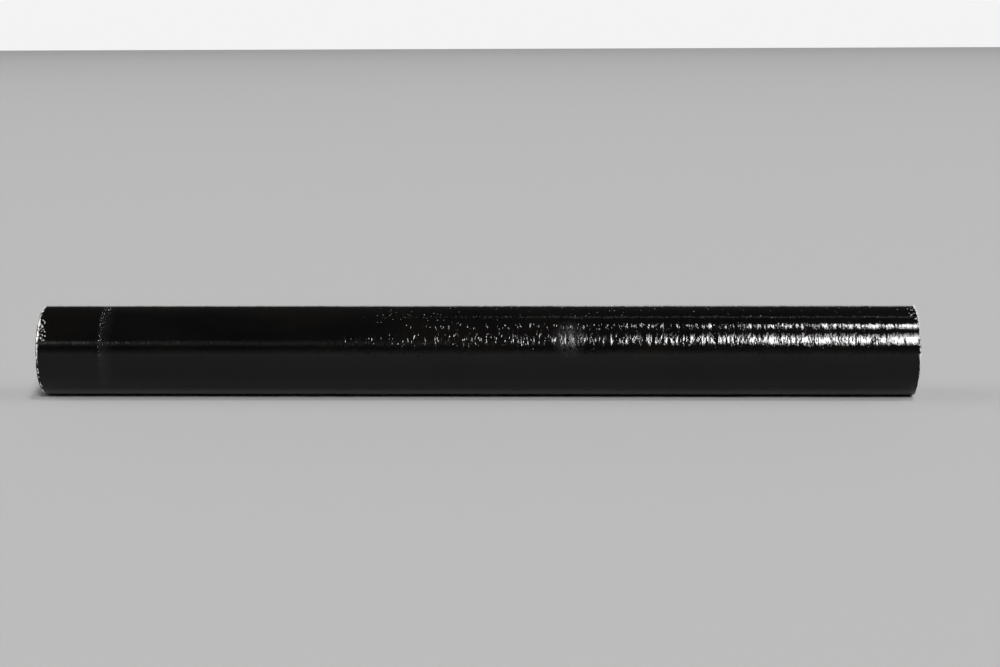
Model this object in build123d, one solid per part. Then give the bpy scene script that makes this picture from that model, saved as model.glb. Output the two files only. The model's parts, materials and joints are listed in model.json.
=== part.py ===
"""Part-used roll of mineral-surfaced roofing felt, wound without a core and lying on its side.

The felt is one sheet of bitumen with a layer of slate granules pressed into its upper face. It is
wound with the granules inwards, so the bare bitumen of the underside is the outside of the roll.
The sheet was started on a round mandrel: its first turn is a true circle until it has to climb over
its own leading edge, and each later turn climbs over a longer stretch, so that the outer turns are
an even spiral. One long edge of the sheet, the selvedge, has no granules, and there the turns stand
apart by the depth of the granule layer. At the other edge the granules have crumbled back a little.

X runs along the roll, with the selvedge at -X. Z is up. The roll lies on its tail and on the turn
below it, and the origin is on the floor under the middle of the roll.
"""

import math
import os

from build123d import *

# Sheet, in millimetres
felt_width = 1000.0
bitumen_thickness = 3.6
granule_thickness = 0.9
selvedge_width = 75.0
crumbled_edge = 2.5

# Winding
bore_diameter = 40.0
turns = 6.75
first_climb = 0.22
climb_growth = 0.13
points_per_turn = 18
lean_passes = 12
length_samples = 1000

felt_thickness = bitumen_thickness + granule_thickness
bore_radius = bore_diameter / 2
full_turn = 360.0
half_length = felt_width / 2


def climb(turn, share):
    """How far, from 0 to 1, a turn has climbed onto the next one after a share of its length."""
    stretch = min(1.0, first_climb + climb_growth * turn)
    evenness = (stretch - first_climb) / (1.0 - first_climb)
    rise = max(0.0, (share - 1.0 + stretch) / stretch)
    eased = rise * rise * (3.0 - 2.0 * rise)
    return (1.0 - evenness) * eased + evenness * share


def inner_radius(wound):
    """Radius of the granule face after so many turns from the leading edge."""
    turn = math.floor(wound)
    return bore_radius + felt_thickness * (turn + climb(turn, wound - turn))


def outer_radius(wound):
    """Radius of the bare bitumen face after so many turns from the leading edge."""
    return inner_radius(wound) + felt_thickness


def resting_lean():
    """Angle from straight down to the tail when the tail and the turn below it touch the floor."""
    lean = 0.0
    for _ in range(lean_passes):
        radius_on_floor = outer_radius(turns - 1.0 + lean / full_turn)
        lean = math.degrees(math.acos(radius_on_floor / outer_radius(turns)))
    return lean


tail_angle = resting_lean() - 90.0


def angle_at(wound):
    """Direction from the roll's axis, in degrees above +Y, of the sheet after so many turns."""
    return tail_angle + full_turn * (turns - wound)


def polar(radius, angle):
    """Point of the roll's section at a radius and an angle about its axis."""
    return (radius * math.cos(math.radians(angle)), radius * math.sin(math.radians(angle)))


def stretch_points(radius_of, start, end):
    """Points along one face of the sheet between two counts of turns."""
    steps = max(2, math.ceil(abs(end - start) * points_per_turn))
    wounds = [start + (end - start) * step / steps for step in range(steps + 1)]
    return [polar(radius_of(wound), angle_at(wound)) for wound in wounds]


def outline():
    """Section of the whole roll: the last turn's outside, stepped down at the sheet's cut tail."""
    points = stretch_points(outer_radius, turns - 1.0, turns)
    return make_face([Spline(points), Line(points[-1], points[0])])


def bare_radius(wound):
    """Radius of the bitumen's inner face, where its granules are missing."""
    return inner_radius(wound) + granule_thickness


def turn_below(wound):
    """Radius of the outside of the turn below."""
    return outer_radius(wound - 1.0)


def hollow(face_radius):
    """Section of the bore: a circle, and the climb up to the step of the leading edge."""
    circle_end = 1.0 - first_climb
    wall = CenterArc((0, 0), face_radius(0), angle_at(0), -full_turn * circle_end)
    climb_points = stretch_points(face_radius, circle_end, 1.0)
    step = Line(climb_points[-1], polar(face_radius(0), angle_at(0)))
    return make_face([wall, Spline(climb_points), step])


def seam(start, end):
    """Section of the gap between two turns over one stretch of the winding."""
    below = stretch_points(turn_below, start, end)
    above = stretch_points(bare_radius, start, end)
    sides = [Line(below[0], above[0]), Line(below[-1], above[-1])]
    return make_face([Spline(below), Spline(above), *sides])


def seams():
    """The gap between the turns, from the leading edge out to the tail, a turn at a time."""
    starts = [float(turn) for turn in range(1, math.ceil(turns))]
    return [seam(start, min(start + 1.0, turns)) for start in starts]


def extruded(section, start, end):
    """Solid of a section along the roll, from one place on X to another."""
    return extrude(Plane.YZ.offset(start) * section, end - start)


def felt_roll():
    """The wound sheet as one solid, with its bore and with its turns open at both ends."""
    wound = outline() - hollow(inner_radius)
    open_wound = outline() - hollow(bare_radius) - seams()
    granules_start = selvedge_width - half_length
    granules_end = half_length - crumbled_edge
    selvedge = extruded(open_wound, -half_length, granules_start)
    crumbled = extruded(open_wound, granules_end, half_length)
    return extruded(wound, granules_start, granules_end) + [selvedge, crumbled]


def sheet_length():
    """Length of the sheet left on the roll, along the middle of its thickness."""
    wounds = [turns * (sample + 0.5) / length_samples for sample in range(length_samples)]
    middles = [inner_radius(wound) + felt_thickness / 2 for wound in wounds]
    return math.tau * turns * sum(middles) / length_samples


def main():
    roll = felt_roll()
    box = roll.bounding_box()
    roll = Pos(0, -box.center().Y, -box.min.Z) * roll
    os.makedirs("parts", exist_ok=True)
    export_step(roll, "parts/felt_roll.step")
    print("roll", [round(side, 2) for side in box.size], "volume", round(roll.volume))
    print("axis of the bore at Y, Z", round(-box.center().Y, 4), round(-box.min.Z, 4))
    print("tail at", round(tail_angle, 2), "degrees; length of sheet left", round(sheet_length()))


main()
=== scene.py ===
import json
import math

import bpy
import numpy as np
from mathutils import Matrix, Vector


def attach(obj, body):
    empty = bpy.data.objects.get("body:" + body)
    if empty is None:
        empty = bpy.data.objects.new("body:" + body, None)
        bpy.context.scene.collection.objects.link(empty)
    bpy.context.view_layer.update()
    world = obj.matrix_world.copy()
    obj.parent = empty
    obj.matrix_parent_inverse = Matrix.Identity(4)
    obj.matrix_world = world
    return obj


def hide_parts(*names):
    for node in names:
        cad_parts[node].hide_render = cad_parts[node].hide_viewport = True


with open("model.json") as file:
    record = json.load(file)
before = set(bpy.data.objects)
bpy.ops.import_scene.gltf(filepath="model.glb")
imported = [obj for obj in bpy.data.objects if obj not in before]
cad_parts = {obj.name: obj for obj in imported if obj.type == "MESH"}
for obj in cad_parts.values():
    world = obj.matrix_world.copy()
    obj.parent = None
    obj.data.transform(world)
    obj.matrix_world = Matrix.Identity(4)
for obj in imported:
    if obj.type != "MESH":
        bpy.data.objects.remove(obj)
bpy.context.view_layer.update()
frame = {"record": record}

# The bitumen sheet: a polyester fleece soaked and coated with bitumen, with a thin torch-on film on
# its underside. It is wound on itself without a core, film outwards, and its long edges are trimmed
# by a knife, so that the turns and the line of the fleece in them show at both ends.
half_width = 0.5
bitumen_thickness = 0.0036
granule_thickness = 0.0009
sheet_thickness = bitumen_thickness + granule_thickness
fleece_depth = 0.0016
fleece_thickness = 0.0004
selvedge_end = -0.425
crumbled_start = 0.4975
bore_radius = 0.020
turns = 6.75
first_climb = 0.22
climb_growth = 0.13
lean_passes = 12

bore_mount = next(m for m in frame["record"]["mounts"] if m["name"] == "bore")
axis_y, axis_z = bore_mount["pos_m"][1:]


def inner_radius(wound):
    """Radius of the granule face after so many turns from the leading edge."""
    turn = np.floor(wound)
    share = wound - turn
    stretch = np.minimum(1.0, first_climb + climb_growth * turn)
    evenness = (stretch - first_climb) / (1.0 - first_climb)
    rise = np.maximum(0.0, (share - 1.0 + stretch) / stretch)
    eased = rise * rise * (3.0 - 2.0 * rise)
    return bore_radius + sheet_thickness * (turn + (1.0 - evenness) * eased + evenness * share)


def resting_lean():
    """Angle from straight down to the tail when the tail and the turn below it touch the floor."""
    lean = 0.0
    for _ in range(lean_passes):
        on_floor = inner_radius(turns - 1.0 + lean / 360.0) + sheet_thickness
        lean = math.degrees(math.acos(on_floor / (inner_radius(turns) + sheet_thickness)))
    return lean


tail_angle = resting_lean() - 90.0


def wound_angle(wound):
    """Direction from the roll's axis, up from +Y, of the sheet after so many turns."""
    return np.radians(tail_angle + 360.0 * (turns - wound))


def wound_place(x, wound, radius):
    x, radius, angle = np.broadcast_arrays(x, radius, wound_angle(wound))
    return np.stack([x, axis_y + radius * np.cos(angle), axis_z + radius * np.sin(angle)], axis=-1)


def smooth_noise(random, shape, blurs):
    """Noise blurred over so many points each way, with a mean of 0 and a spread of 1."""
    field = random.standard_normal(shape)
    for axis, blur in enumerate(blurs):
        reach = int(3 * blur) + 1
        kernel = np.exp(-0.5 * (np.arange(-reach, reach + 1) / blur) ** 2)
        padded = np.concatenate([field, np.take(field, np.arange(2 * reach), axis=axis)], axis=axis)
        field = np.apply_along_axis(np.convolve, axis, padded, kernel, "valid")
    return (field - field.mean()) / field.std()


# Rows of points lie along the roll. On the outermost turn they are fine enough for the crinkles.
sheet_random = np.random.default_rng(11)
rows_per_turn = 96
row_count = round(turns * rows_per_turn) + 1
row_wound = np.arange(row_count) / rows_per_turn
outer_rows = rows_per_turn + 2
first_outer_row = row_count - outer_rows

# Slight wander of the wound edges, and the knife's small tears in them
edge_wander = 0.0005
edge_tear = 0.00022
wander_reach = 0.03
left_wander = edge_wander * smooth_noise(sheet_random, (row_count,), (30,))
left_wander += edge_tear * smooth_noise(sheet_random, (row_count,), (1.0,))
right_wander = edge_wander * smooth_noise(sheet_random, (row_count,), (30,))
right_wander += edge_tear * smooth_noise(sheet_random, (row_count,), (1.0,))


def wandered(x, row):
    left = left_wander[row] * np.exp(-(x + half_width) / wander_reach)
    right = right_wander[row] * np.exp(-(half_width - x) / wander_reach)
    return x + left + right


edge_bevel = 0.0004
column_spacing = 0.00143
left_columns = [-half_width, -half_width + edge_bevel, -0.494, -0.46, selvedge_end]
right_columns = [0.49, half_width - edge_bevel, half_width]
coarse_x = np.array([*left_columns, 0.0, *right_columns])
pieces_of_gap = [max(1, round(gap / column_spacing)) for gap in np.diff(coarse_x)]
fine_x = np.concatenate(
    [np.linspace(a, b, n, endpoint=False) for a, b, n in zip(coarse_x, coarse_x[1:], pieces_of_gap)]
    + [[half_width]]
)
fine_index_of_coarse = np.concatenate([[0], np.cumsum(pieces_of_gap)])

# Crinkles of the film, long round the roll and narrow along it, on a slight waviness of the sheet.
# The film is calmer in its left third and close to the right end, and level where its mesh ends.
crinkle_depth = 0.00003
dimple_depth = 0.00004
waviness_depth = 0.00005
smooth_until = -0.24
smooth_again = 0.484
levelling_rows = 5.0
outer_shape = (outer_rows, len(fine_x))
crinkle = smooth_noise(sheet_random, outer_shape, (2.4, 0.85))
relief = crinkle_depth * np.sign(crinkle) * np.abs(crinkle) ** 1.5
relief += dimple_depth * smooth_noise(sheet_random, outer_shape, (3.6, 2.6))
relief += waviness_depth * smooth_noise(sheet_random, outer_shape, (9.0, 22.0))
calm_places = [selvedge_end - 0.01, selvedge_end, smooth_until, -0.12, 0.470, smooth_again]
calm = np.interp(fine_x, calm_places, [0.35, 0.55, 0.55, 1.0, 1.0, 0.5])
from_row_ends = np.minimum(np.arange(outer_rows), np.arange(outer_rows)[::-1])
relief *= calm[None, :] * np.clip(from_row_ends / levelling_rows, 0.0, 1.0)[:, None]

sheet_points = []
sheet_faces = []
sheet_finishes = []
point_total = 0


def add_points(points):
    global point_total
    sheet_points.append(points)
    first = point_total
    point_total += len(points)
    return list(range(first, point_total))


corner_depth = 0.00025


def corner_softening(x):
    return corner_depth * (np.abs(x) > half_width - edge_bevel / 2)


fleece_end = half_width + 0.0001
back_x = coarse_x[::-1]
row_outer, row_right, row_inner, row_left = [], [], [], []
for row in range(row_count):
    wound = row_wound[row]
    inner = inner_radius(wound) + granule_thickness
    outer = inner + bitumen_thickness
    x = fine_x if row >= first_outer_row else coarse_x
    radius = outer - corner_softening(x)
    if row >= first_outer_row:
        radius = radius + relief[row - first_outer_row]
    face = wound_place(wandered(x, row), wound, radius)
    face[:, 2] = np.maximum(face[:, 2], 0.0)
    back = wound_place(wandered(back_x, row), wound, inner + corner_softening(back_x))
    fleece = np.array([outer - fleece_depth, outer - fleece_depth - fleece_thickness])
    row_outer.append(add_points(face))
    row_right.append(add_points(wound_place(wandered(fleece_end, row), wound, fleece)))
    row_inner.append(add_points(back))
    row_left.append(add_points(wound_place(wandered(-fleece_end, row), wound, fleece[::-1])))

film, cut_bitumen, fleece_line = 0, 1, 2


def add_strip(first, second, finishes):
    for k in range(len(first) - 1):
        sheet_faces.append([first[k], first[k + 1], second[k + 1], second[k]])
        sheet_finishes.append(finishes if isinstance(finishes, int) else finishes[k])


inner_finishes = [film if x <= selvedge_end else cut_bitumen for x in back_x[:-1]]
for row in range(row_count - 1):
    if row == first_outer_row - 1:
        for k in range(len(coarse_x) - 1):
            fine = row_outer[row + 1][fine_index_of_coarse[k] : fine_index_of_coarse[k + 1] + 1]
            sheet_faces.append([row_outer[row][k], row_outer[row][k + 1], *fine[::-1]])
            sheet_finishes.append(film)
    else:
        add_strip(row_outer[row], row_outer[row + 1], film)
    for edge, start, end in (
        (row_right, row_outer, row_inner),
        (row_left, row_inner, row_outer),
    ):
        loop_now = [start[row][-1], *edge[row], end[row][0]]
        loop_next = [start[row + 1][-1], *edge[row + 1], end[row + 1][0]]
        add_strip(loop_now, loop_next, [cut_bitumen, fleece_line, cut_bitumen])
    add_strip(row_inner[row], row_inner[row + 1], inner_finishes)


def close_sheet(row, outward):
    """Cut face across the sheet at its leading edge or its tail, with the fleece showing in it."""
    wound = row_wound[row]
    outer = inner_radius(wound) + sheet_thickness
    layers = []
    for depth, side in ((fleece_depth, 0), (fleece_depth + fleece_thickness, 1)):
        middle = add_points(wound_place(coarse_x[1:-1], wound, outer - depth))
        layers.append([row_left[row][1 - side], *middle, row_right[row][side]])
    inner = row_inner[row][::-1]
    for k in range(len(coarse_x) - 1):
        if len(row_outer[row]) == len(fine_x):
            top = row_outer[row][fine_index_of_coarse[k] : fine_index_of_coarse[k + 1] + 1]
        else:
            top = row_outer[row][k : k + 2]
        bands = [
            (top, layers[0][k : k + 2], cut_bitumen),
            (layers[0][k : k + 2], layers[1][k : k + 2], fleece_line),
            (layers[1][k : k + 2], inner[k : k + 2], cut_bitumen),
        ]
        for upper, lower, finish in bands:
            face = [*upper, *lower[::-1]]
            sheet_faces.append(face if outward else face[::-1])
            sheet_finishes.append(finish)


close_sheet(0, False)
close_sheet(row_count - 1, True)


def make_piece(name, points, faces, finishes, materials, sharp_angle=None):
    mesh = bpy.data.meshes.new(name)
    mesh.from_pydata(points.tolist(), [], faces)
    mesh.polygons.foreach_set("material_index", np.array(finishes, np.int32))
    for material in materials:
        mesh.materials.append(material)
    mesh.polygons.foreach_set("use_smooth", np.full(len(faces), sharp_angle is not None))
    if sharp_angle is not None:
        mesh.set_sharp_from_angle(angle=math.radians(sharp_angle))
    mesh.validate()
    mesh.update()
    piece = bpy.data.objects.new(name, mesh)
    bpy.context.scene.collection.objects.link(piece)
    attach(piece, "root")
    return piece


class Finish:
    """A material's one shader, and a short way to add the nodes that colour and roughen it."""

    def __init__(self, name, **settings):
        self.material = bpy.data.materials.new(name)
        self.material.use_nodes = True
        self.tree = self.material.node_tree
        self.shader = self.tree.nodes["Principled BSDF"]
        for label, value in settings.items():
            self.shader.inputs[label.replace("_", " ")].default_value = value
        self.place = self.add("ShaderNodeTexCoord").outputs["Object"]

    def add(self, kind, links=(), **settings):
        node = self.tree.nodes.new(kind)
        for label, value in settings.items():
            if hasattr(node, label):
                setattr(node, label, value)
            else:
                node.inputs[label.replace("_", " ")].default_value = value
        for label, source in dict(links).items():
            self.tree.links.new(source, node.inputs[label])
        return node

    def noise(self, lumps_per_metre, detail=2.0, roughness=0.5, warp=0.0):
        where = self.add("ShaderNodeMapping", {"Vector": self.place}, Scale=lumps_per_metre)
        node = self.add("ShaderNodeTexNoise", {"Vector": where.outputs["Vector"]}, Scale=1.0)
        for label, number in (("Detail", detail), ("Roughness", roughness), ("Distortion", warp)):
            node.inputs[label].default_value = number
        return node.outputs["Fac"]

    def mapped(self, value, low, high, to_low, to_high):
        node = self.add("ShaderNodeMapRange", {"Value": value}, clamp=True)
        limits = {"From Min": low, "From Max": high, "To Min": to_low, "To Max": to_high}
        for label, number in limits.items():
            node.inputs[label].default_value = number
        return node.outputs["Result"]

    def ramp(self, value, stops):
        node = self.add("ShaderNodeValToRGB", {"Fac": value})
        while len(node.color_ramp.elements) < len(stops):
            node.color_ramp.elements.new(0.5)
        for element, (position, colour) in zip(node.color_ramp.elements, stops):
            element.position = position
            element.color = (*colour, 1.0)
        return node.outputs["Color"]

    def maths(self, operation, first, second):
        node = self.add("ShaderNodeMath", operation=operation)
        for place, value in enumerate((first, second)):
            if isinstance(value, (int, float)):
                node.inputs[place].default_value = value
            else:
                self.tree.links.new(value, node.inputs[place])
        return node.outputs["Value"]

    def vector_maths(self, operation, first, second=(0.0, 0.0, 0.0)):
        node = self.add("ShaderNodeVectorMath", {0: first}, operation=operation)
        node.inputs[1].default_value = second
        return node.outputs

    def blended(self, colour, over, share):
        node = self.add("ShaderNodeMix", data_type="RGBA")
        sockets = {socket.name: socket for socket in node.inputs if socket.enabled}
        sockets["B"].default_value = (*over, 1.0)
        self.tree.links.new(colour, sockets["A"])
        self.tree.links.new(share, sockets["Factor"])
        return next(socket for socket in node.outputs if socket.enabled)

    def bump(self, height, distance, below=None):
        links = {"Height": height}
        if below is not None:
            links["Normal"] = below
        return self.add("ShaderNodeBump", links, Distance=distance).outputs["Normal"]

    def wear(self, **sources):
        for label, source in sources.items():
            self.tree.links.new(source, self.shader.inputs[label.replace("_", " ")])
        return self.material


# Torch-on film: thin, black and very glossy, drawn into streaks round the roll
film_black = (0.0012, 0.0012, 0.0013)
film_brown = (0.0028, 0.0024, 0.0021)
film_finish = Finish("torch_film", IOR=1.45, Specular_IOR_Level=0.27)
film_tint = film_finish.noise((9.0, 26.0, 26.0), 3.0)
film_colour = film_finish.ramp(film_tint, [(0.35, film_black), (0.7, film_brown)])
film_place = film_finish.add("ShaderNodeSeparateXYZ", {"Vector": film_finish.place}).outputs
along_roll = film_place["X"]
calm_left = film_finish.mapped(along_roll, smooth_until, -0.10, 0.4, 1.0)
calm_right = film_finish.mapped(along_roll, 0.466, smooth_again, 1.0, 0.4)
drawn_patches = film_finish.noise((30.0, 34.0, 34.0), 2.0)
drawn_patches = film_finish.mapped(drawn_patches, 0.35, 0.65, 0.55, 1.25)
drawn_patches = film_finish.maths("MULTIPLY", drawn_patches, calm_left)
drawn_patches = film_finish.maths("MULTIPLY", drawn_patches, calm_right)
drawn_streaks = film_finish.noise((235.0, 74.0, 74.0), 1.0, 0.4, 0.7)
drawn_streaks = film_finish.maths("MULTIPLY", drawn_streaks, drawn_patches)
pimples = film_finish.noise((420.0, 240.0, 240.0), 1.0)

# Its sharp crinkles, which start along a slanting line, further to the right higher up the roll
slant_height = axis_z + 0.02
crinkle_slant = 3.5
crinkle_sharpness = 1.6
above_slant = film_finish.maths("SUBTRACT", film_place["Z"], slant_height)
slanted_back = film_finish.maths("MULTIPLY", above_slant, crinkle_slant)
past_slant = film_finish.maths("SUBTRACT", along_roll, slanted_back)
crinkled_part = film_finish.mapped(past_slant, -0.18, -0.08, 0.0, 1.0)
sharp_crinkles = film_finish.noise((400.0, 110.0, 110.0), 1.0)
sharp_crinkles = film_finish.mapped(sharp_crinkles, 0.58, 0.88, 0.0, 1.0)
sharp_crinkles = film_finish.maths("POWER", sharp_crinkles, crinkle_sharpness)
sharp_crinkles = film_finish.maths("MULTIPLY", sharp_crinkles, crinkled_part)
sharp_crinkles = film_finish.maths("MULTIPLY", sharp_crinkles, calm_right)
film_relief = film_finish.bump(drawn_streaks, 0.00028)
film_relief = film_finish.bump(pimples, 0.00010, film_relief)
film_relief = film_finish.bump(sharp_crinkles, 0.00044, film_relief)

# The scuff right of the middle, grey and hazy where the film has been rubbed
scuff_middle = (0.105, axis_y - 0.0476, axis_z + 0.0220)
scuff_size = (0.021, 0.024, 0.024)
scuff_grey = (0.035, 0.035, 0.035)
scuff_dulling = 0.3
from_scuff = film_finish.vector_maths("SUBTRACT", film_finish.place, scuff_middle)["Vector"]
scuff_span = film_finish.vector_maths("DIVIDE", from_scuff, scuff_size)["Vector"]
scuff_reach = film_finish.vector_maths("LENGTH", scuff_span)["Value"]
scuff_here = film_finish.mapped(scuff_reach, 0.1, 1.0, 1.0, 0.0)
scuff_rub = film_finish.noise((420.0, 280.0, 280.0), 4.0, 0.7)
scuff_rub = film_finish.mapped(scuff_rub, 0.40, 0.66, 0.0, 1.0)
scuff = film_finish.maths("MULTIPLY", scuff_here, scuff_rub)
film_haze = film_finish.noise((60.0, 60.0, 60.0), 3.0)
film_roughness = film_finish.mapped(film_haze, 0.35, 0.75, 0.05, 0.11)
scuff_roughness = film_finish.maths("MULTIPLY", scuff, scuff_dulling)
film_roughness = film_finish.maths("ADD", film_roughness, scuff_roughness)
film_colour = film_finish.blended(film_colour, scuff_grey, scuff)

# Slate dust wiped along the film beside the selvedge
wiped_grey = (0.009, 0.009, 0.009)
wiped_start = film_finish.mapped(along_roll, selvedge_end - 0.0065, selvedge_end - 0.0030, 0.0, 1.0)
wiped_end = film_finish.mapped(along_roll, selvedge_end - 0.0010, selvedge_end + 0.0120, 1.0, 0.0)
wiped_grain = film_finish.noise((500.0, 160.0, 160.0), 3.0, 0.7)
wiped_grain = film_finish.mapped(wiped_grain, 0.35, 0.70, 0.1, 1.0)
wiped = film_finish.maths("MULTIPLY", wiped_start, wiped_end)
wiped = film_finish.maths("MULTIPLY", wiped, wiped_grain)
film_colour = film_finish.blended(film_colour, wiped_grey, wiped)
torch_film = film_finish.wear(Base_Color=film_colour, Roughness=film_roughness, Normal=film_relief)

# Knife-cut bitumen: dull black-brown, with sand and torn fibres in it
cut_black = (0.007, 0.0065, 0.006)
cut_brown = (0.019, 0.0175, 0.016)
torn_brown = (0.055, 0.050, 0.045)
cut_finish = Finish("cut_bitumen", Specular_IOR_Level=0.3)
cut_grain = cut_finish.noise((700.0, 700.0, 700.0), 3.0, 0.65)
cut_smear = cut_finish.noise((240.0, 70.0, 160.0), 2.0, 0.6)
grain_part = cut_finish.maths("MULTIPLY", cut_grain, 0.6)
smear_part = cut_finish.maths("MULTIPLY", cut_smear, 0.4)
cut_shade = cut_finish.maths("ADD", grain_part, smear_part)
cut_colour = cut_finish.ramp(cut_shade, [(0.36, cut_black), (0.52, cut_brown), (0.66, torn_brown)])
cut_bitumen_edge = cut_finish.wear(
    Base_Color=cut_colour,
    Roughness=cut_finish.mapped(cut_smear, 0.3, 0.7, 0.42, 0.9),
    Normal=cut_finish.bump(cut_grain, 0.00025),
)

# Cut fleece: pale fibres soaked nearly black
soaked_fibre = (0.03, 0.028, 0.026)
pale_fibre = (0.17, 0.16, 0.145)
fleece_finish = Finish("cut_fleece", Specular_IOR_Level=0.2, Roughness=0.9)
fleece_grain = fleece_finish.noise((1100.0, 1100.0, 1100.0), 2.0, 0.6)
fleece_colour = fleece_finish.ramp(fleece_grain, [(0.35, soaked_fibre), (0.65, pale_fibre)])
fleece_relief = fleece_finish.bump(fleece_grain, 0.0003)
cut_fleece = fleece_finish.wear(Base_Color=fleece_colour, Normal=fleece_relief)

bitumen_sheet = make_piece(
    "bitumen_sheet",
    np.concatenate(sheet_points),
    sheet_faces,
    sheet_finishes,
    [torch_film, cut_bitumen_edge, cut_fleece],
    sharp_angle=32,
)
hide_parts("felt_roll")

# The slate granules: crushed slate, about a millimetre across, rolled into the hot upper face of
# the sheet between the selvedge and the other edge. They are wound inwards, so they line the bore,
# and show between the turns at the edge that has crumbled.
granule_random = np.random.default_rng(23)
layer_x = np.array([selvedge_end, -0.42, -0.40, -0.25, 0.0, 0.25, 0.46, 0.49, crumbled_start])
layer_bite = 0.0001
layer_clearance = 0.00002
start_straying = 0.0009
end_crumbling = 0.0005
start_wander = start_straying * smooth_noise(granule_random, (row_count,), (3.0,))
crumble_wander = end_crumbling * smooth_noise(granule_random, (row_count,), (0.8,))

layer_points = []
for row in range(row_count):
    wound = row_wound[row]
    inner = inner_radius(wound)
    x = wandered(layer_x, row)
    x[0] += start_wander[row]
    x[-1] += crumble_wander[row]
    layer_points.append(wound_place(x, wound, inner + granule_thickness + layer_bite))
    layer_points.append(wound_place(x[::-1], wound, inner + layer_clearance))
loop_length = 2 * len(layer_x)
layer_faces = []
for row in range(row_count - 1):
    now = row * loop_length
    after = now + loop_length
    for k in range(loop_length):
        following = (k + 1) % loop_length
        layer_faces.append([now + k, now + following, after + following, after + k])
last_loop = (row_count - 1) * loop_length
for k in range(len(layer_x) - 1):
    opposite = loop_length - 1 - k
    cap = [k, k + 1, opposite - 1, opposite]
    layer_faces.append(cap[::-1])
    layer_faces.append([last_loop + c for c in cap])

# The bed they are pressed into, with a cell of its own shade for each granule
slate_dark = (0.030, 0.032, 0.035)
slate_grey = (0.150, 0.157, 0.163)
slate_pale = (0.400, 0.405, 0.405)
bed_shades = [(0.0, slate_dark), (0.35, slate_grey), (0.75, slate_grey), (1.0, slate_pale)]
bed_finish = Finish("granule_bed", Specular_IOR_Level=0.3)
cells = bed_finish.add("ShaderNodeTexVoronoi", {"Vector": bed_finish.place}, Scale=900.0).outputs
bed_shade = bed_finish.add("ShaderNodeSeparateColor", {"Color": cells["Color"]}).outputs["Red"]
bed_height = bed_finish.mapped(cells["Distance"], 0.0, 0.7, 1.0, 0.0)
granule_bed = bed_finish.wear(
    Base_Color=bed_finish.ramp(bed_shade, bed_shades),
    Roughness=bed_finish.mapped(bed_shade, 0.0, 1.0, 0.55, 0.85),
    Normal=bed_finish.bump(bed_height, 0.0005),
)

make_piece(
    "granule_layer",
    np.concatenate(layer_points),
    layer_faces,
    [0] * len(layer_faces),
    [granule_bed],
    sharp_angle=40,
)

chip_directions = np.array(
    [[1, 0, 0], [-1, 0, 0], [0, 1, 0], [0, -1, 0], [0, 0, 1], [0, 0, -1]], float
)
chip_sides = np.array(
    [[0, 2, 4], [2, 1, 4], [1, 3, 4], [3, 0, 4], [2, 0, 5], [1, 2, 5], [3, 1, 5], [0, 3, 5]]
)


def chip_shapes(random, centres, outwards, sizes, flatness):
    """Crushed chips: six corners at uneven distances, turned at random, flattened to the face."""
    count = len(centres)
    corners = chip_directions[None] * random.uniform(0.6, 1.3, (count, 6, 1))
    corners = corners + random.uniform(-0.35, 0.35, (count, 6, 3))
    turn = np.linalg.qr(random.standard_normal((count, 3, 3)))[0]
    turn *= np.sign(np.linalg.det(turn))[:, None, None]
    corners = np.einsum("nij,nkj->nki", turn, corners)
    along = np.einsum("nki,ni->nk", corners, outwards)
    corners -= (1.0 - flatness) * along[..., None] * outwards[:, None, :]
    corners = centres[:, None, :] + corners * (0.5 * sizes)[:, None, None]
    faces = (chip_sides[None] + 6 * np.arange(count)[:, None, None]).reshape(-1, 3)
    return corners.reshape(-1, 3), faces.tolist()


def wound_outward(wound):
    angle = wound_angle(wound)
    return np.stack([np.zeros_like(angle), np.cos(angle), np.sin(angle)], axis=-1)


chip_spacing = 0.00112
smallest_chip = 0.0008
largest_chip = 0.0014
chip_flatness = 0.6
crumbled_rows = ((0.4968, 0.0004), (0.4979, 0.0005))
mouth_depth = 0.055
mouths = (
    (crumbled_start - mouth_depth, crumbled_start),
    (selvedge_end, selvedge_end + mouth_depth),
)
chip_sites = []
# Along the crumbled edge, between the turns and round the mouth of the bore
for row_x, jitter in crumbled_rows:
    wound = 0.01
    while wound < turns - 0.004:
        radius = float(inner_radius(wound))
        place_x = row_x + granule_random.normal(0, jitter)
        chip_sites.append((place_x, wound, radius + granule_thickness / 2))
        wound += chip_spacing * granule_random.uniform(0.8, 1.35) / (2 * math.pi * radius)
# In the two mouths of the bore
for mouth_start, mouth_end in mouths:
    for row_x in np.arange(mouth_start, mouth_end, chip_spacing):
        wound = 0.002
        while wound < 0.995:
            radius = float(inner_radius(wound))
            place_x = row_x + granule_random.normal(0, 0.0003)
            chip_sites.append((place_x, wound, radius + granule_random.uniform(0.0, 0.0003)))
            wound += chip_spacing * granule_random.uniform(0.75, 1.3) / (2 * math.pi * radius)
# Along the tail's cut edge
tail_radius = float(inner_radius(turns))
chip_sites += [
    (x, turns - 0.0006, tail_radius + granule_random.uniform(0.0002, 0.0007))
    for x in np.arange(selvedge_end, crumbled_start, chip_spacing)
]
chip_sites = np.array(chip_sites)
chip_points, chip_faces = chip_shapes(
    granule_random,
    wound_place(chip_sites[:, 0], chip_sites[:, 1], chip_sites[:, 2]),
    -wound_outward(chip_sites[:, 1]),
    granule_random.uniform(smallest_chip, largest_chip, len(chip_sites)),
    chip_flatness,
)


def slate(name, colour, roughness):
    finish = Finish(name, Specular_IOR_Level=0.35, Roughness=roughness)
    grain = finish.noise((2500.0, 2500.0, 2500.0), 2.0)
    darker = tuple(0.7 * channel for channel in colour)
    lighter = tuple(min(1.0, 1.25 * channel) for channel in colour)
    return finish.wear(Base_Color=finish.ramp(grain, [(0.35, darker), (0.65, lighter)]))


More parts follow.
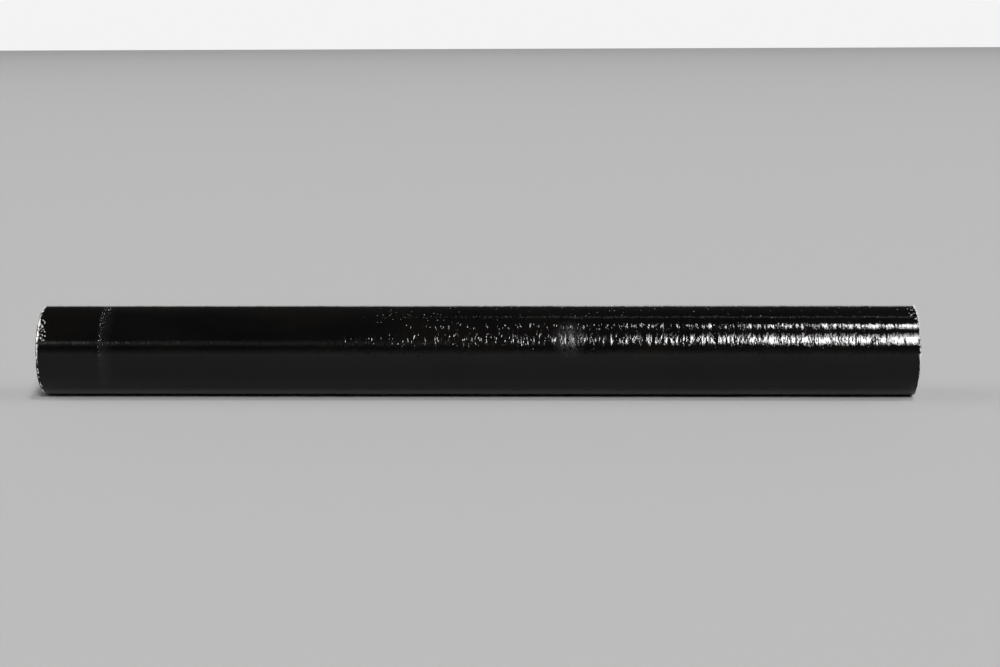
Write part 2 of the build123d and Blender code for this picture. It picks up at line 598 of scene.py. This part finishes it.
slates = [
    slate("slate_dark", slate_dark, 0.5),
    slate("slate_grey", slate_grey, 0.65),
    slate("slate_pale", slate_pale, 0.75),
]
chip_slate = granule_random.choice(3, len(chip_sites), p=[0.33, 0.47, 0.20])
make_piece(
    "slate_granules",
    chip_points,
    chip_faces,
    np.repeat(chip_slate, len(chip_sides)),
    slates,
)

# The grit on the film: pale sand stuck along the trimmed edges, and slate dust in a thin line where
# the edge of the granules lay against the film, from the turn that was unrolled. The sand's
# near-white colour is partly its own and partly painted glints, where the lit rims would shine.
# Pale grey specks in the dust's finish are also scattered over the rest of the film.
grit_random = np.random.default_rng(37)
grit_flatness = 0.5


def film_radius(elevation):
    """The sheet's turn count and its outside radius at an angle up from the side towards -Y."""
    angle = 180.0 - elevation
    wound = turns - ((angle - tail_angle) % 360.0) / 360.0
    return wound, inner_radius(wound) + sheet_thickness


def scatter_grit(count, x_middle, x_spread, lowest, highest, smallest, largest):
    """Grit between two angles round the roll, thinning out to one side of a place along it."""
    elevation = grit_random.uniform(lowest, highest, count)
    x = x_middle + np.abs(grit_random.normal(0, 1, count)) * x_spread
    return np.stack([x, elevation, grit_random.uniform(smallest, largest, count)], axis=-1)


def scatter_dust(count, first_x, last_x, lowest, highest, smallest, largest):
    """Dust between two angles round the roll and two places along it."""
    elevation = grit_random.uniform(lowest, highest, count)
    x = grit_random.uniform(first_x, last_x, count)
    return np.stack([x, elevation, grit_random.uniform(smallest, largest, count)], axis=-1)


def stick_grit(name, sites, finish):
    sites = np.concatenate(sites)
    wound, radius = film_radius(sites[:, 1])
    places = wound_place(sites[:, 0], wound, radius)
    outwards = wound_outward(wound)
    points, faces = chip_shapes(grit_random, places, outwards, sites[:, 2], grit_flatness)
    points[:, 2] = np.maximum(points[:, 2], 0.0)
    make_piece(name, points, faces, [0] * len(faces), [finish])


rim_inset = 0.0004
left_rim = -half_width + rim_inset
right_rim = half_width - rim_inset
# Pale sand on both rims: partly real grit and partly painted glints, near white and densest where
# the lamps light the rims
sand_and_painted_glints = slate("pale_sand_and_painted_glints", (0.70, 0.69, 0.67), 0.7)
stick_grit(
    "edge_grit_and_painted_glints",
    [
        scatter_grit(60, left_rim, 0.0010, 22, 52, 0.0010, 0.0025),
        scatter_grit(36, left_rim, 0.0007, 12, 58, 0.0007, 0.0018),
        scatter_grit(60, left_rim, 0.0003, 8, 80, 0.0005, 0.0011),
        scatter_grit(30, left_rim, 0.0003, 50, 88, 0.0008, 0.0017),
        scatter_grit(26, left_rim, 0.0003, 0, 24, 0.0008, 0.0017),
        scatter_grit(12, left_rim, 0.0004, -28, -14, 0.0008, 0.0018),
        scatter_grit(30, left_rim, 0.0009, 56, 90, 0.0005, 0.0014),
        scatter_grit(14, left_rim, 0.0006, -22, 14, 0.0004, 0.0010),
        scatter_grit(20, left_rim, 0.0006, -60, -36, 0.0009, 0.0020),
        scatter_grit(60, left_rim, 0.0008, 90, 270, 0.0004, 0.0011),
        scatter_grit(34, left_rim + 0.0036, 0.0026, 22, 56, 0.0006, 0.0016),
        scatter_grit(40, right_rim + 0.0003, -0.0003, 56, 96, 0.0008, 0.0016),
        scatter_grit(80, right_rim + 0.0003, -0.0003, -44, 58, 0.0005, 0.0011),
        scatter_grit(36, right_rim + 0.0003, -0.0003, -14, 22, 0.0007, 0.0013),
        scatter_grit(34, right_rim, -0.0012, 40, 90, 0.0006, 0.0017),
        scatter_grit(14, right_rim - 0.003, -0.0030, 50, 88, 0.0005, 0.0012),
        scatter_grit(26, right_rim, -0.0007, -8, 40, 0.0006, 0.0015),
        scatter_grit(8, right_rim, -0.0005, -40, -8, 0.0004, 0.0010),
        scatter_grit(45, right_rim, -0.0008, 90, 270, 0.0004, 0.0010),
    ],
    sand_and_painted_glints,
)
stick_grit(
    "slate_dust",
    [
        scatter_dust(12, selvedge_end - 0.0052, selvedge_end - 0.0006, 12, 58, 0.0006, 0.0011),
        scatter_dust(22, selvedge_end - 0.0056, selvedge_end + 0.0014, 12, 60, 0.0002, 0.0006),
        scatter_dust(10, selvedge_end - 0.0050, selvedge_end + 0.0030, 52, 88, 0.0006, 0.0011),
        scatter_dust(24, selvedge_end - 0.0056, selvedge_end + 0.0056, 52, 88, 0.0002, 0.0006),
        scatter_grit(3, selvedge_end - 0.0040, 0.0012, -6, 12, 0.0004, 0.0007),
        scatter_grit(36, selvedge_end - 0.0044, 0.0018, 88, 280, 0.0003, 0.0008),
        # Pale grey specks in the slate dust's finish, scattered over the rest of the film, away
        # from the selvedge
        scatter_dust(30, -0.13, 0.06, 50, 84, 0.0004, 0.0010),
        scatter_dust(24, -0.12, 0.00, 44, 68, 0.0005, 0.0010),
        scatter_dust(70, 0.06, 0.48, 55, 88, 0.0004, 0.0010),
        scatter_dust(40, -0.45, 0.48, 88, 270, 0.0003, 0.0007),
    ],
    slate("slate_dust", (0.42, 0.42, 0.41), 0.75),
)

# The studio: a plain pale floor. Soft lamps stand ahead of the roll and to its right, low and high
# and thin overhead, with dim ones to its left and a soft light at each side. The room is pale low
# down behind the roll, fainter low down in front of it, and dim elsewhere.
floor_reach = 80
floor_corners = [
    (-floor_reach, -floor_reach, 0),
    (floor_reach, -floor_reach, 0),
    (floor_reach, floor_reach, 0),
    (-floor_reach, floor_reach, 0),
]
floor_mesh = bpy.data.meshes.new("floor")
floor_mesh.from_pydata(floor_corners, [], [[0, 1, 2, 3]])
floor = bpy.data.objects.new("floor", floor_mesh)
bpy.context.scene.collection.objects.link(floor)
floor_finish = Finish("floor", Roughness=0.9, Specular_IOR_Level=0.2)
floor_finish.shader.inputs["Base Color"].default_value = (0.37, 0.37, 0.37, 1.0)
floor_mesh.materials.append(floor_finish.material)

lamp_distance = 200.0
side_spread = 50


def soft_lamp(name, lowest, highest, left, right, radiance):
    """A lamp seen from the roll between two angles above -Y and two places along X."""
    middle = math.radians((lowest + highest) / 2)
    lamp = bpy.data.lights.new(name, "AREA")
    lamp.shape = "RECTANGLE"
    lamp.size = right - left
    lamp.size_y = 2 * lamp_distance * math.tan(math.radians(highest - lowest) / 2)
    lamp.energy = radiance * math.pi * lamp.size * lamp.size_y
    holder = bpy.data.objects.new(name, lamp)
    bpy.context.scene.collection.objects.link(holder)
    across = (left + right) / 2
    holder.location = (across, -lamp_distance * math.cos(middle), lamp_distance * math.sin(middle))
    holder.rotation_euler = (math.pi / 2 - middle, 0.0, 0.0)


def side_light(name, azimuth, elevation, strength):
    """A soft light for an end of the roll, which the film doesn't mirror."""
    light = bpy.data.lights.new(name, "SUN")
    light.energy = strength
    light.angle = math.radians(side_spread)
    holder = bpy.data.objects.new(name, light)
    bpy.context.scene.collection.objects.link(holder)
    holder.rotation_euler = (math.radians(90 - elevation), 0.0, math.radians(azimuth))
    holder.visible_glossy = False


soft_lamp("lamp_low", 29.0, 43.0, 22.5, 52.0, 48.0)
soft_lamp("lamp_low_wide", 25.0, 48.0, 22.5, 52.0, 13.0)
soft_lamp("lamp_low_end", 23.0, 53.0, 36.0, 60.0, 18.0)
soft_lamp("lamp_high", 70.5, 78.5, 27.5, 52.0, 38.0)
soft_lamp("lamp_high_wide", 66.0, 80.0, 34.0, 52.0, 25.0)
soft_lamp("lamp_overhead", 101.5, 105.0, -4.0, 53.0, 1.0)
soft_lamp("lamp_left", 24.0, 30.5, -80.0, -14.0, 0.38)
soft_lamp("lamp_left_wide", 20.5, 34.0, -80.0, -10.0, 0.2)
soft_lamp("lamp_left_end", 25.5, 31.0, -80.0, -50.0, 1.7)
side_light("light_left", -90, 25, 1.1)
side_light("light_right", 90, 25, 1.1)

room_dim = 0.05
world = bpy.data.worlds.new("studio")
world.use_nodes = True
world_tree = world.node_tree
direction_seen = world_tree.nodes.new("ShaderNodeTexCoord").outputs["Generated"]
room_shades = []
for upward, pale_to, dim_from, pale in (
    ((0.0, -0.3, 1.0), 0.0, 0.09, 0.90),
    ((0.0, 0.5, 1.0), -0.5, -0.26, 0.46),
):
    height_seen = world_tree.nodes.new("ShaderNodeVectorMath")
    height_seen.operation = "DOT_PRODUCT"
    height_seen.inputs[1].default_value = upward
    world_tree.links.new(direction_seen, height_seen.inputs[0])
    room_shade = world_tree.nodes.new("ShaderNodeMapRange")
    room_shade.inputs["From Min"].default_value = pale_to
    room_shade.inputs["From Max"].default_value = dim_from
    room_shade.inputs["To Min"].default_value = pale
    room_shade.inputs["To Max"].default_value = room_dim
    world_tree.links.new(height_seen.outputs["Value"], room_shade.inputs["Value"])
    room_shades.append(room_shade.outputs["Result"])
paler_shade = world_tree.nodes.new("ShaderNodeMath")
paler_shade.operation = "MAXIMUM"
world_tree.links.new(room_shades[0], paler_shade.inputs[0])
world_tree.links.new(room_shades[1], paler_shade.inputs[1])
world_tree.links.new(paler_shade.outputs["Value"], world_tree.nodes["Background"].inputs["Color"])
bpy.context.scene.world = world

# The camera, fitted to the roll's outline: low, a little right of the middle, looking a bit down
camera_data = bpy.data.cameras.new("camera")
camera_data.sensor_width = 36.0
camera_data.lens = 70.45
camera = bpy.data.objects.new("camera", camera_data)
bpy.context.scene.collection.objects.link(camera)
yaw, pitch, roll = (math.radians(angle) for angle in (-1.43, 8.56, -0.21))
forward = Vector(
    (math.sin(yaw) * math.cos(pitch), math.cos(yaw) * math.cos(pitch), -math.sin(pitch))
)
level_right = Vector((math.cos(yaw), -math.sin(yaw), 0.0))
level_up = level_right.cross(forward)
right = math.cos(roll) * level_right + math.sin(roll) * level_up
up = -math.sin(roll) * level_right + math.cos(roll) * level_up
camera.matrix_world = Matrix((right, up, -forward)).transposed().to_4x4()
camera.location = (0.0816, axis_y - 2.232, axis_z + 0.3566)
bpy.context.scene.camera = camera
bpy.context.scene.view_settings.view_transform = "Standard"
